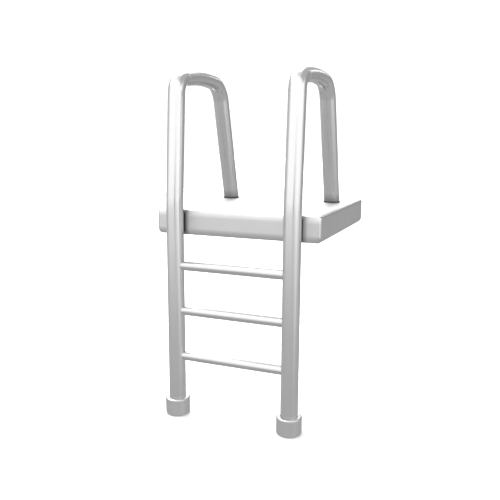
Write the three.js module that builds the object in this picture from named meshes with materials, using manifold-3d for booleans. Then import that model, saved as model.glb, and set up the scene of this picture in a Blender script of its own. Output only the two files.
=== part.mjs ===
// A swimming pool ladder: two bent tube rails with rungs between them in front, and a sheet metal
// platform behind that carries the rails' rear legs. Millimetres, +Z up, +X across the ladder and
// +Y from the pool side towards the deck side. The origin is on the floor, under the middle of the
// whole ladder.
//
// Every piece is drawn in one inner frame whose +Y starts at the front legs' axis ("reach") and whose
// +Z starts at the floor ("height"). The last lines shift that frame to the origin.

import * as THREE from "three";
import { mergeVertices } from "three/addons/utils/BufferGeometryUtils.js";
import Module from "manifold-3d";

const wasm = await Module();
wasm.setup();

// ---------------------------------------------------------------- driving dimensions

const FIT = 0.3; // clearance between pieces that touch
const BOLT_GAP = 0.5; // extra radius of a hole round its screw or bolt
const BORE_GAP = 0.5; // extra radius of a round bore over the tube or stub in it
const CUT = 1; // how far a cutting body passes the surface it cuts
const HOLE_SIDES = 8;
const TURNED_SIDES = 24;
const DEGREE = Math.PI / 180;

const RAIL_SPACING = 500; // between the rails' axes
const RAIL_RADIUS = 35;
const RAIL_WALL = 2;
const RAIL_SIDES = 20;
const BEND_STEP = 11 * DEGREE; // longest turn between two sections of the tube
const LEAST_STEPS = 4; // in any bend
const DRILL = { from: 15, to: 45 }; // a hole through one wall of the rail, measured from its axis

const LEAN_HEIGHT = 900; // corner where the front leg starts to lean back
const LEAN_ANGLE = 3.8 * DEGREE;
const LEAN_BEND = 800;
const GRAB_FRONT = { height: 1383, bend: 60, endDepth: 32 }; // above the front leg
const GRAB_MIDDLE = { reach: 230, height: 1406, bend: 900, depth: 29.5 }; // flattened grip
const GRAB_REAR = { reach: 428, height: 1390, bend: 105, depth: 30.5, endDepth: RAIL_RADIUS };
const SEAM = { run: 1, width: 4, height: 1.2 }; // weld bead where the grip meets the front bend
const REAR_LEG_ANGLE = 14.6 * DEGREE;

const RUNG_HEIGHTS = { lower: 259, middle: 454, upper: 643 };
const RUNG_RADIUS = 19;
const RUNG_WALL = 1.5;
const SPIGOT_RADIUS = 10; // end fitting's stub inside the rail
const SPIGOT_DEPTH = 22; // how far the stub passes the rail's axis
const FITTING_PLUG = 28; // length of the fitting inside the rung
const FITTING_SHOULDER = RAIL_RADIUS + 4; // from the rail's axis to the fitting's wide part
const RUNG_SCREW_LENGTH = 42;

const FOOT_RADIUS = 51;
const FOOT_HEIGHT = 75; // from the floor to the cup's rim
const FOOT_FLOOR = 16; // height of the leg's end above the floor
const FOOT_EDGE = 6;
const SOLE = { radius: 42, thickness: 7, proud: 2 }; // rubber disc let into the cup's base
const SOLE_WELL = { margin: 1.5, roof: 1 }; // room round the screw's head, and rubber above it
const LEG_PLUG = { gap: 0.8, height: 28, chamfer: 4 };
const FOOT_SCREW_LENGTH = 34;

const DECK = { width: 704, front: 30, back: 746, base: 766, thickness: 105 };
const DECK_TOP = DECK.base + DECK.thickness;
const DECK_EDGE = 14; // deepest rounding of the long edges, measured level
// How far each edge's oval rounding reaches inwards and how tall it is.
const DECK_ROUNDING = {
  front: { top: [14, 30], base: [14, 30] },
  other: { top: [9, 11], base: [14, 24] },
};
const DECK_CORNER = 17; // rounding of the upright corners
const DECK_LEAST_CORNER = 2; // the same where the long edges' rounding has used most of it up
const DECK_SHEET = 3;
const DECK_EDGE_STEPS = 5;
const LEG_HOLE_GAP = 2.7; // room for the seal between the rear leg and the platform's skin
const COVER_THICKNESS = 3;
const COVER_GAP = 0.5;
const COVER_SCREW_LENGTH = 13;

const BEAM = { width: 30, height: 60, wall: 3 };
const BEAM_LIFT = 3; // above the cover, so that the beams clear the rounded edges
const REAR_BEAM_GAP = 4; // from the beam to the start of the rear edge's rounding
const OUTER_BEAM_X = 320;
const INNER_BEAM_X = 180;
const COVER_SCREW_SPOTS = [
  [-OUTER_BEAM_X, 200],
  [OUTER_BEAM_X, 200],
  [-OUTER_BEAM_X, 560],
  [OUTER_BEAM_X, 560],
];

const SOCKET_RADIUS = 41;
const SOCKET_PLATE = { width: 166, depth: 130, thickness: 6 };
const SOCKET_BOLT_X = 70; // bolts from the rail's axis, into the beams on both sides
const SOCKET_BOLT_Y = 50;
const SOCKET_HEIGHT = 80; // from the platform's skin to the sleeve's lower end
const SOCKET_BOLT_LENGTH = 18;
const REAR_LEG_DEPTH = 80; // length of rear leg below the platform's top
const CROSS_BOLT_DEPTH = 56;
const CROSS_BOLT_LENGTH = 2 * SOCKET_RADIUS + 11;

const SEAL = { sleeve: 1.8, lip: 3.2, lipTop: 4 }; // outside the leg's radius; above the platform's top

const PAD_THICKNESS = 1.2;
const PAD_LIP = { reach: 27.2, halfWidth: 31 }; // lies on the platform's front beside the seat
const PAD_HEIGHT = 75;
const LEG_BOLT_HEIGHTS = { lower: 788, upper: 818 };
const NUT_PLATE = { width: 25, near: 23.5, far: 29.5, margin: 13 }; // inside the front leg

const M5 = { radius: 2.5, head: 4.8, headHeight: 2.2 };
const M8 = { radius: 4, head: 7, headHeight: 4.5 };
const M10 = { radius: 5, head: 8.5, headHeight: 6.4 };
const NUT = { radius: 9, height: 8 }; // the nut welded to a socket

// ---------------------------------------------------------------- derived dimensions

const RAIL_X = RAIL_SPACING / 2;
const REAR_LEG_REACH = GRAB_REAR.reach + (GRAB_REAR.height - DECK_TOP) * Math.tan(REAR_LEG_ANGLE);
const COVER_TOP = DECK.base + COVER_THICKNESS;
const BEAM_BASE = COVER_TOP + BEAM_LIFT;
const BEAM_TOP = BEAM_BASE + BEAM.height;
const SOCKET_PLATE_BASE = BEAM_TOP + FIT;
const SOCKET_REACH = REAR_LEG_REACH + (DECK_TOP - SOCKET_PLATE_BASE) * Math.tan(REAR_LEG_ANGLE);
const SEAT_RADIUS = RAIL_RADIUS + 3 * FIT + PAD_THICKNESS; // groove that holds leg and pad
const FRONT_BEAM_REACH = SEAT_RADIUS + DECK_SHEET + FIT + BEAM.width / 2;
const REAR_BEAM_REACH = DECK.back - DECK_EDGE - REAR_BEAM_GAP - BEAM.width / 2;
const ORIGIN_REACH = (DECK.back - FOOT_RADIUS) / 2;

// ---------------------------------------------------------------- materials

function finish(color, roughness, metalness) {
  return new THREE.MeshStandardMaterial({ color, roughness, metalness });
}

const satinSteel = finish(0xd4d5d6, 0.35, 1);
const fastenerSteel = finish(0xb9bbbd, 0.3, 1);
const satinAluminium = finish(0xd9dadb, 0.35, 1);
const castAluminium = finish(0xd2d3d4, 0.4, 1);
const greyRubber = finish(0x77797a, 0.8, 0);
const blackRubber = finish(0x2a2a2b, 0.8, 0);
const millAluminium = finish(0xc3c6c9, 0.5, 1);
const plugPlastic = finish(0x8d8f90, 0.6, 0);

// ---------------------------------------------------------------- geometry helpers

// The closed geometry as a solid that can be joined and cut.
function solid(geometry) {
  const bare = new THREE.BufferGeometry();
  bare.setAttribute("position", geometry.getAttribute("position"));
  bare.setIndex(geometry.index);
  const merged = mergeVertices(bare, 1e-4);
  return new wasm.Manifold(
    new wasm.Mesh({
      numProp: 3,
      vertProperties: merged.attributes.position.array,
      triVerts: merged.index.array,
    }),
  );
}

// The solid as a geometry that a mesh can show.
function shown(body) {
  const { vertProperties, triVerts } = body.getMesh();
  const geometry = new THREE.BufferGeometry();
  geometry.setAttribute("position", new THREE.BufferAttribute(vertProperties, 3));
  geometry.setIndex(new THREE.BufferAttribute(triVerts, 1));
  geometry.computeVertexNormals();
  return geometry;
}

// A prism of the given radius from one point to another; 6 sides make a hexagon head.
function rod(radius, from, to, sides = 16) {
  const start = new THREE.Vector3(...from);
  const run = new THREE.Vector3(...to).sub(start);
  const turn = new THREE.Quaternion().setFromUnitVectors(
    new THREE.Vector3(0, 1, 0),
    run.clone().normalize(),
  );
  return new THREE.CylinderGeometry(radius, radius, run.length(), sides)
    .applyQuaternion(turn)
    .translate(...start.addScaledVector(run, 0.5).toArray());
}

// The solid to cut away for a screw or bolt of the given size.
function boltHole(size, from, to) {
  return solid(rod(size.radius + BOLT_GAP, from, to, HOLE_SIDES));
}

// A solid block between two opposite corners.
function block(low, high) {
  const size = high.map((value, axis) => value - low[axis]);
  const middle = high.map((value, axis) => (value + low[axis]) / 2);
  return solid(new THREE.BoxGeometry(...size).translate(...middle));
}

// A ring-shaped or solid body turned about +Z from a closed outline of [radius, height] points.
function turned(outline, sides) {
  const points = outline.map(([radius, height]) => new THREE.Vector2(radius, height));
  return new THREE.LatheGeometry(points, sides).rotateX(Math.PI / 2);
}

function piece(parent, name, geometry, material) {
  const mesh = new THREE.Mesh(geometry, material);
  mesh.name = name;
  parent.add(mesh);
  return mesh;
}

// A hexagon-headed bolt along +Z: the head stands below z = 0 and the shank runs up from it.
function bolt(size, length) {
  const head = solid(rod(size.head, [0, 0, -size.headHeight], [0, 0, 0], 6));
  const shank = solid(rod(size.radius, [0, 0, -CUT], [0, 0, length], HOLE_SIDES));
  return shown(head.add(shank));
}

// A round-headed screw along +Z with a hexagon socket in its domed head, placed as bolt() is.
function buttonScrew(size, length) {
  const dome = [
    [0, -size.headHeight],
    [size.head * 0.7, -size.headHeight],
    [size.head, -size.headHeight * 0.3],
    [size.head, 0],
    [size.radius, 0],
    [size.radius, length],
    [0, length],
  ];
  const socketTop = -size.headHeight * 0.4;
  const socket = rod(size.radius * 0.65, [0, 0, -size.headHeight - CUT], [0, 0, socketTop], 6);
  return shown(solid(turned(dome, 10)).subtract(solid(socket)));
}

// The cone of a flat head along +Z, its wide end at z = 0, grown outwards by the given gap.
function flatHead(size, gap) {
  const outline = [
    [0, -gap],
    [size.head + gap, -gap],
    [size.head + gap, 0],
    [size.radius + gap, size.headHeight],
    [0, size.headHeight],
  ];
  return turned(outline, 12);
}

// A flat-headed screw along +Z whose head lies flush with z = 0.
function flatScrew(size, length) {
  const shank = rod(size.radius, [0, 0, CUT], [0, 0, length], HOLE_SIDES);
  const socket = rod(size.radius * 0.6, [0, 0, -CUT], [0, 0, size.headHeight * 0.6], 6);
  return shown(solid(flatHead(size, 0)).add(solid(shank)).subtract(solid(socket)));
}

// ---------------------------------------------------------------- rails

// Stations along a line of straight runs joined by round bends. A corner's depth is half the tube's
// height in the plane of the bends, and its endDepth the same where the bend ends. A corner with a
// seam ends in a weld bead, behind which the tube has the next corner's depth.
function bentRun(corners) {
  const points = corners.map(({ reach, height }) => new THREE.Vector3(0, reach, height));
  const heading = (i) => points[i + 1].clone().sub(points[i]).normalize();
  const last = points.length - 1;
  const stations = [{ point: points[0], tangent: heading(0), depth: corners[0].depth, swell: 0 }];
  for (let i = 1; i < last; i += 1) {
    const before = heading(i - 1);
    const after = heading(i);
    const { bend, depth, endDepth = depth, seam } = corners[i];
    const turn = before.angleTo(after);
    const inward = after.clone().addScaledVector(before, -Math.cos(turn)).normalize();
    const start = points[i].clone().addScaledVector(before, -bend * Math.tan(turn / 2));
    const steps = Math.max(LEAST_STEPS, Math.ceil(turn / BEND_STEP));
    for (let k = 0; k <= steps; k += 1) {
      const angle = (turn * k) / steps;
      stations.push({
        point: start
          .clone()
          .addScaledVector(before, bend * Math.sin(angle))
          .addScaledVector(inward, bend * (1 - Math.cos(angle))),
        tangent: before
          .clone()
          .multiplyScalar(Math.cos(angle))
          .addScaledVector(inward, Math.sin(angle)),
        depth: depth + ((endDepth - depth) * k) / steps,
        swell: 0,
      });
    }
    if (seam) {
      const { point } = stations.at(-1);
      const nextDepth = corners[i + 1].depth;
      const bead = [
        [seam.run, endDepth, seam.height],
        [seam.width - seam.run, nextDepth, seam.height],
        [seam.width, nextDepth, 0],
      ];
      for (const [along, beadDepth, swell] of bead) {
        const at = point.clone().addScaledVector(after, along);
        stations.push({ point: at, tangent: after, depth: beadDepth, swell });
      }
    }
  }
  stations.push({ point: points[last], tangent: heading(last - 1), depth: corners[last].depth, swell: 0 });
  return stations;
}

// A hollow tube with open ends through the stations, all of which lie in one plane across X. Across
// that plane its radius is RAIL_RADIUS; swell is added to the outside only.
function stationTube(stations) {
  const positions = [];
  const across = new THREE.Vector3(1, 0, 0);
  for (const inside of [false, true]) {
    for (const { point, tangent, depth, swell } of stations) {
      const up = tangent.clone().cross(across);
      const grow = inside ? -RAIL_WALL : swell;
      for (let k = 0; k < RAIL_SIDES; k += 1) {
        const angle = (2 * Math.PI * k) / RAIL_SIDES;
        const at = point
          .clone()
          .addScaledVector(across, (RAIL_RADIUS + grow) * Math.cos(angle))
          .addScaledVector(up, (depth + grow) * Math.sin(angle));
        positions.push(...at.toArray());
      }
    }
  }
  const count = stations.length;
  const corner = (layer, i, k) => (layer * count + i) * RAIL_SIDES + (k % RAIL_SIDES);
  const index = [];
  const quad = (a, b, c, d) => index.push(a, c, b, a, d, c);
  for (let k = 0; k < RAIL_SIDES; k += 1) {
    for (let i = 0; i < count - 1; i += 1) {
      quad(corner(0, i, k), corner(0, i + 1, k), corner(0, i + 1, k + 1), corner(0, i, k + 1));
      quad(corner(1, i, k), corner(1, i, k + 1), corner(1, i + 1, k + 1), corner(1, i + 1, k));
    }
    const end = count - 1;
    quad(corner(0, 0, k), corner(0, 0, k + 1), corner(1, 0, k + 1), corner(1, 0, k));
    quad(corner(0, end, k), corner(1, end, k), corner(1, end, k + 1), corner(0, end, k + 1));
  }
  const geometry = new THREE.BufferGeometry();
  geometry.setAttribute("position", new THREE.Float32BufferAttribute(positions, 3));
  geometry.setIndex(index);
  return geometry;
}

function ringShape(outer, inner) {
  const ring = new THREE.Shape().absarc(0, 0, outer, 0, 2 * Math.PI);
  ring.holes.push(new THREE.Path().absarc(0, 0, inner, 0, 2 * Math.PI));
  return ring;
}

function railTube() {
  const frontReach = (GRAB_FRONT.height - LEAN_HEIGHT) * Math.tan(LEAN_ANGLE);
  const [, endReach, endHeight] = rearLegPoint(REAR_LEG_DEPTH);
  const round = { depth: RAIL_RADIUS };
  return stationTube(
    bentRun([
      { ...round, reach: 0, height: FOOT_FLOOR + FIT },
      { ...round, reach: 0, height: LEAN_HEIGHT, bend: LEAN_BEND },
      { ...round, ...GRAB_FRONT, reach: frontReach, seam: SEAM },
      GRAB_MIDDLE,
      GRAB_REAR,
      { ...round, reach: endReach, height: endHeight },
    ]),
  );
}

// A point on the rear leg's axis, the given length below the platform's top, beside x = 0.
function rearLegPoint(depth) {
  return [
    0,
    REAR_LEG_REACH + depth * Math.sin(REAR_LEG_ANGLE),
    DECK_TOP - depth * Math.cos(REAR_LEG_ANGLE),
  ];
}

// A rod along the rear leg's axis, from one depth below the platform's top to another.
function rearLegRod(radius, from, to, sides = RAIL_SIDES) {
  return rod(radius, rearLegPoint(from), rearLegPoint(to), sides);
}

// side is -1 on the left and +1 on the right; the rungs lie towards -side.
function rail(side) {
  let tube = solid(railTube());
  for (const height of Object.values(RUNG_HEIGHTS)) {
    const [near, far] = [-side * DRILL.from, -side * DRILL.to];
    const spigotHole = rod(SPIGOT_RADIUS + BORE_GAP, [near, 0, height], [far, 0, height]);
    tube = tube
      .subtract(solid(spigotHole))
      .subtract(boltHole(M8, [0, DRILL.from, height], [0, DRILL.to, height]));
  }
  for (const height of Object.values(LEG_BOLT_HEIGHTS)) {
    tube = tube.subtract(boltHole(M10, [0, DRILL.from, height], [0, DRILL.to, height]));
  }
  const [, reach, height] = rearLegPoint(CROSS_BOLT_DEPTH);
  return shown(tube.subtract(boltHole(M10, [-DRILL.to, reach, height], [DRILL.to, reach, height])));
}

// ---------------------------------------------------------------- rungs

function rungTube() {
  const half = RAIL_X - DRILL.from;
  const tube = new THREE.ExtrudeGeometry(ringShape(RUNG_RADIUS, RUNG_RADIUS - RUNG_WALL), {
    depth: 2 * half,
    bevelEnabled: false,
    curveSegments: 10,
  })
    .translate(0, 0, -half)
    .rotateY(Math.PI / 2);
  const reach = 2 * RUNG_RADIUS;
  const railCut = (x) => solid(rod(RAIL_RADIUS + 2 * FIT, [x, 0, -reach], [x, 0, reach], RAIL_SIDES));
  return shown(solid(tube).subtract(railCut(-RAIL_X)).subtract(railCut(RAIL_X)));
}

// The turned plug that joins a rung to the rail on the given side, with its stub inside the rail.
function rungFitting(side) {
  const plugRadius = RUNG_RADIUS - RUNG_WALL - BORE_GAP;
  const outline = [
    [0, -SPIGOT_DEPTH],
    [SPIGOT_RADIUS, -SPIGOT_DEPTH],
    [SPIGOT_RADIUS, FITTING_SHOULDER],
    [plugRadius, FITTING_SHOULDER],
    [plugRadius, FITTING_SHOULDER + FITTING_PLUG],
    [0, FITTING_SHOULDER + FITTING_PLUG],
  ];
  const plug = solid(turned(outline, 12).rotateY((-side * Math.PI) / 2));
  return shown(plug.subtract(boltHole(M8, [0, -RUNG_RADIUS, 0], [0, RUNG_RADIUS, 0])));
}

// ---------------------------------------------------------------- feet

// A quarter circle of outline points round an edge whose centre is at the given radius and height.
function quarter(radius, height, from) {
  return [0, 1, 2].map((k) => {
    const angle = from + (k * Math.PI) / 4;
    return [radius + FOOT_EDGE * Math.cos(angle), height + FOOT_EDGE * Math.sin(angle)];
  });
}

// The metal cup on the leg's end, with a recess for the sole in its base.
function foot() {
  const bore = RAIL_RADIUS + BORE_GAP;
  const hole = M8.radius + BOLT_GAP;
  const recess = SOLE.radius + FIT;
  const recessTop = SOLE.thickness + FIT;
  const rim = FOOT_RADIUS - FOOT_EDGE;
  return turned(
    [
      [hole, recessTop],
      [recess, recessTop],
      [recess, SOLE.proud],
      ...quarter(rim, SOLE.proud + FOOT_EDGE, -Math.PI / 2),
      ...quarter(rim, FOOT_HEIGHT - FOOT_EDGE, 0),
      [bore, FOOT_HEIGHT],
      [bore, FOOT_FLOOR],
      [hole, FOOT_FLOOR],
      [hole, recessTop],
    ],
    TURNED_SIDES,
  );
}

// The rubber disc that the foot stands on, with a well for the screw's head.
function sole() {
  const well = M8.head + SOLE_WELL.margin;
  const hole = M8.radius + BOLT_GAP;
  const seat = SOLE.thickness - SOLE_WELL.roof;
  return turned(
    [
      [hole, seat],
      [well, seat],
      [well, 0],
      [SOLE.radius, 0],
      [SOLE.radius, SOLE.thickness],
      [hole, SOLE.thickness],
      [hole, seat],
    ],
    TURNED_SIDES,
  );
}

// The stopper in the leg's lower end that the foot's screw bites into.
function legPlug() {
  const radius = RAIL_RADIUS - RAIL_WALL - LEG_PLUG.gap;
  const hole = M8.radius + BOLT_GAP;
  const outline = [
    [hole, 0],
    [radius, 0],
    [radius, LEG_PLUG.height - LEG_PLUG.chamfer],
    [radius - LEG_PLUG.chamfer, LEG_PLUG.height],
    [hole, LEG_PLUG.height],
    [hole, 0],
  ];
  return turned(outline, RAIL_SIDES);
}

// ---------------------------------------------------------------- platform

// How far an edge with the given rounding stands back at a height between low and high. The sheet is
// taken off both measures on the pan's inner side.
function standBack(rounding, sheet, height, low, high) {
  const [[depth, tall], from] =
    height > (low + high) / 2 ? [rounding.top, high - height] : [rounding.base, height - low];
  const share = Math.max(0, 1 - from / (tall - sheet));
  return (depth - sheet) * (1 - Math.sqrt(1 - share ** 2));
}

// One closed body for the pan's outside, or its inside where sheet is the metal's thickness.
function panBody(sheet) {
  const [low, high] = [DECK.base + sheet, DECK_TOP - sheet];
  const { front, other } = DECK_ROUNDING;
  const rises = (tall) =>
    Array.from({ length: DECK_EDGE_STEPS + 1 }, (_, k) => {
      const angle = (k * Math.PI) / 2 / DECK_EDGE_STEPS;
      return (tall - sheet) * (1 - Math.cos(angle));
    });
  const heights = [
    ...rises(front.base[1]).map((rise) => low + rise),
    ...rises(front.top[1]).map((rise) => high - rise).reverse(),
  ];
  const positions = [];
  for (const height of heights) {
    const [ahead, beside] = [front, other].map((edge) => standBack(edge, sheet, height, low, high));
    const corner = Math.max(DECK_LEAST_CORNER, DECK_CORNER - sheet - Math.max(ahead, beside));
    const x = DECK.width / 2 - sheet - beside - corner;
    const near = DECK.front + sheet + ahead + corner;
    const far = DECK.back - sheet - beside - corner;
    const centres = [
      [x, near],
      [x, far],
      [-x, far],
      [-x, near],
    ];
    centres.forEach(([cx, cy], turn) => {
      for (const k of [-1, 0, 1]) {
        const angle = (turn * Math.PI) / 2 + ((k - 1) * Math.PI) / 4;
        positions.push(cx + corner * Math.cos(angle), cy + corner * Math.sin(angle), height);
      }
    });
  }
  const ring = 12;
  const index = [];
  for (let k = 0; k < ring; k += 1) {
    const next = (k + 1) % ring;
    for (let i = 0; i < heights.length - 1; i += 1) {
      const [a, b, c, d] = [i * ring + k, i * ring + next, (i + 1) * ring + next, (i + 1) * ring + k];
      index.push(a, b, c, a, c, d);
    }
    if (k > 0 && next > 0) {
      const top = (heights.length - 1) * ring;
      index.push(0, next, k, top, top + k, top + next);
    }
  }
  const geometry = new THREE.BufferGeometry();
  geometry.setAttribute("position", new THREE.Float32BufferAttribute(positions, 3));
  geometry.setIndex(index);
  return solid(geometry);
}

// The platform's pan: sheet metal with rounded edges, its skirt turned in round the open underside, a
// pressed seat for each front leg and a hole for each rear leg.
function deckShell() {
  const half = DECK.width / 2;
  const outside = panBody(0);
  const mouth = block(
    [-half + DECK_EDGE, DECK.front + DECK_EDGE, DECK.base - CUT],
    [half - DECK_EDGE, DECK.back - DECK_EDGE, DECK.base + DECK_SHEET + CUT],
  );
  let shell = outside.subtract(panBody(DECK_SHEET)).subtract(mouth);
  for (const x of [-RAIL_X, RAIL_X]) {
    const [bottom, top] = [DECK.base - CUT, DECK_TOP + CUT];
    const upright = (radius) => solid(rod(radius, [x, 0, bottom], [x, 0, top], 2 * RAIL_SIDES));
    const legHole = rearLegRod(RAIL_RADIUS + LEG_HOLE_GAP, -RAIL_RADIUS, RAIL_RADIUS).translate(x, 0, 0);
    shell = shell
      .add(upright(SEAT_RADIUS + DECK_SHEET).intersect(outside))
      .subtract(upright(SEAT_RADIUS))
      .subtract(solid(legHole));
    for (const height of Object.values(LEG_BOLT_HEIGHTS)) {
      shell = shell.subtract(boltHole(M10, [x, 0, height], [x, FRONT_BEAM_REACH, height]));
    }
  }
  return shown(shell);
}

// The flat panel that closes the platform's underside.
function baseCover() {
  const gap = DECK_EDGE + COVER_GAP;
  let panel = block(
    [-DECK.width / 2 + gap, DECK.front + gap, DECK.base],
    [DECK.width / 2 - gap, DECK.back - gap, COVER_TOP],
  );
  for (const [x, reach] of COVER_SCREW_SPOTS) {
    const head = flatHead(M5, BOLT_GAP).translate(x, reach, DECK.base);
    panel = panel
      .subtract(solid(head))
      .subtract(boltHole(M5, [x, reach, DECK.base], [x, reach, COVER_TOP + CUT]));
  }
  return shown(panel);
}

// A rectangular tube along +Z.
function beamTube(length) {
  const frame = (width, height) => [
    new THREE.Vector2(-width / 2, -height / 2),
    new THREE.Vector2(width / 2, -height / 2),
    new THREE.Vector2(width / 2, height / 2),
    new THREE.Vector2(-width / 2, height / 2),
  ];
  const section = new THREE.Shape(frame(BEAM.width, BEAM.height));
  section.holes.push(new THREE.Path(frame(BEAM.width - 2 * BEAM.wall, BEAM.height - 2 * BEAM.wall)));
  return new THREE.ExtrudeGeometry(section, { depth: length, bevelEnabled: false });
}

// A beam across the platform; the front one has holes for the leg bolts.
function crossBeam(reach, bolted) {
  const length = DECK.width - 2 * DECK_EDGE - 2 * CUT;
  let beam = solid(
    beamTube(length)
      .translate(0, 0, -length / 2)
      .rotateX(Math.PI / 2)
      .rotateZ(Math.PI / 2)
      .translate(0, reach, BEAM_BASE + BEAM.height / 2),
  );
  if (bolted) {
    for (const x of [-RAIL_X, RAIL_X]) {
      for (const height of Object.values(LEG_BOLT_HEIGHTS)) {
        const [near, far] = [reach - BEAM.width, reach + BEAM.width];
        beam = beam.subtract(boltHole(M10, [x, near, height], [x, far, height]));
      }
    }
  }
  return shown(beam);
}

// A beam from the front cross beam to the rear one, under the edge of the nearer socket's plate.
function longBeam(x) {
  const start = FRONT_BEAM_REACH + BEAM.width / 2 + FIT;
  const end = REAR_BEAM_REACH - BEAM.width / 2 - FIT;
  const side = Math.sign(x);
  let beam = solid(
    beamTube(end - start)
      .rotateX(-Math.PI / 2)
      .translate(x, start, BEAM_BASE + BEAM.height / 2),
  );
  const boltX = side * RAIL_X + Math.sign(Math.abs(x) - RAIL_X) * side * SOCKET_BOLT_X;
  for (const y of [-SOCKET_BOLT_Y, SOCKET_BOLT_Y]) {
    const reach = SOCKET_REACH + y;
    const [near, far] = [BEAM_TOP - 2 * BEAM.wall, BEAM_TOP + CUT];
    beam = beam.subtract(boltHole(M8, [boltX, reach, near], [boltX, reach, far]));
  }
  for (const [screwX, reach] of COVER_SCREW_SPOTS) {
    if (screwX === x) {
      const [near, far] = [BEAM_BASE - CUT, BEAM_BASE + 2 * BEAM.wall];
      beam = beam.subtract(boltHole(M5, [x, reach, near], [x, reach, far]));
    }
  }
  return shown(beam);
}

// ---------------------------------------------------------------- rear leg sockets

// A sleeve round the rear leg, welded through a level plate that lies on the beams, with a nut welded
// to its inner side for the cross bolt.
function socket(side) {
  const { width, depth, thickness } = SOCKET_PLATE;
  const [, reach, height] = rearLegPoint(CROSS_BOLT_DEPTH);
  const top = DECK_TOP - DECK_SHEET - CUT;
  const clip = block(
    [-width, SOCKET_REACH - depth, top - SOCKET_HEIGHT],
    [width, SOCKET_REACH + depth, top],
  );
  const plate = block(
    [-width / 2, SOCKET_REACH - depth / 2, SOCKET_PLATE_BASE],
    [width / 2, SOCKET_REACH + depth / 2, SOCKET_PLATE_BASE + thickness],
  );
  const nutEnd = [-side * (SOCKET_RADIUS + NUT.height), reach, height];
  let body = solid(rearLegRod(SOCKET_RADIUS, -SOCKET_HEIGHT, 2 * SOCKET_HEIGHT))
    .intersect(clip)
    .add(plate)
    .add(solid(rod(NUT.radius, [0, reach, height], nutEnd, 6)))
    .subtract(solid(rearLegRod(RAIL_RADIUS + 2 * FIT, -2 * SOCKET_HEIGHT, 3 * SOCKET_HEIGHT)));
  for (const x of [-SOCKET_BOLT_X, SOCKET_BOLT_X]) {
    for (const y of [-SOCKET_BOLT_Y, SOCKET_BOLT_Y]) {
      const at = (z) => [x, SOCKET_REACH + y, SOCKET_PLATE_BASE + z];
      body = body.subtract(boltHole(M8, at(-CUT), at(thickness + CUT)));
    }
  }
  return shown(body.subtract(boltHole(M10, [-width / 2, reach, height], [width / 2, reach, height])));
}

// The rubber sleeve between the rear leg and the platform's skin, with a thin lip on the top.
function deckSeal() {
  const room = 2 * RAIL_RADIUS;
  const slice = (extra, low, high) =>
    solid(rearLegRod(RAIL_RADIUS + extra, -room, room)).intersect(
      block([-room, REAR_LEG_REACH - room, low], [room, REAR_LEG_REACH + room, high]),
    );
  const sleeve = slice(SEAL.sleeve, DECK_TOP - DECK_SHEET, DECK_TOP + CUT);
  const lip = slice(SEAL.lip, DECK_TOP + FIT, DECK_TOP + SEAL.lipTop);
  const bore = rearLegRod(RAIL_RADIUS + 3 * FIT, -2 * room, 2 * room);
  return shown(sleeve.add(lip).subtract(solid(bore)));
}

// ---------------------------------------------------------------- front leg seats

// The rubber pad between the front leg and the groove in the platform's front wall, with a flat lip on
// each side.
function legPad() {
  const inner = RAIL_RADIUS + 2 * FIT;
  const { reach, halfWidth } = PAD_LIP;
  const base = DECK.base + (DECK.thickness - PAD_HEIGHT) / 2;
  const upright = (radius) => solid(rod(radius, [0, 0, 0], [0, 0, 2 * DECK_TOP], 2 * RAIL_SIDES));
  const room = block([-halfWidth, reach, base], [halfWidth, 2 * RAIL_RADIUS, base + PAD_HEIGHT]);
  const lips = block([-halfWidth, reach, 0], [halfWidth, DECK.front - FIT, 2 * DECK_TOP]);
  let pad = upright(inner + PAD_THICKNESS).add(lips).subtract(upright(inner)).intersect(room);
  for (const z of Object.values(LEG_BOLT_HEIGHTS)) {
    pad = pad.subtract(boltHole(M10, [0, DRILL.from, z], [0, DRILL.to, z]));
  }
  return shown(pad);
}

// The plate inside the front leg that takes both leg bolts.
function nutPlate() {
  const { width, near, far, margin } = NUT_PLATE;
  const heights = Object.values(LEG_BOLT_HEIGHTS);
  let plate = block(
    [-width / 2, near, Math.min(...heights) - margin],
    [width / 2, far, Math.max(...heights) + margin],
  );
  for (const z of heights) {
    plate = plate.subtract(boltHole(M10, [0, DRILL.from, z], [0, DRILL.to, z]));
  }
  return shown(plate);
}

// ---------------------------------------------------------------- assembly

const frame = new THREE.Group();
frame.position.y = -ORIGIN_REACH;

piece(frame, "deck_shell", deckShell(), satinAluminium);
piece(frame, "deck_base_cover", baseCover(), millAluminium);
piece(frame, "front_beam", crossBeam(FRONT_BEAM_REACH, true), millAluminium);
piece(frame, "rear_beam", crossBeam(REAR_BEAM_REACH, false), millAluminium);
COVER_SCREW_SPOTS.forEach(([x, reach], i) => {
  const screw = piece(frame, `cover_screw_${i + 1}`, flatScrew(M5, COVER_SCREW_LENGTH), fastenerSteel);
  screw.position.set(x, reach, DECK.base + FIT);
});

for (const [level, height] of Object.entries(RUNG_HEIGHTS)) {
  piece(frame, `${level}_rung`, rungTube(), satinSteel).position.z = height;
}

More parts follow.
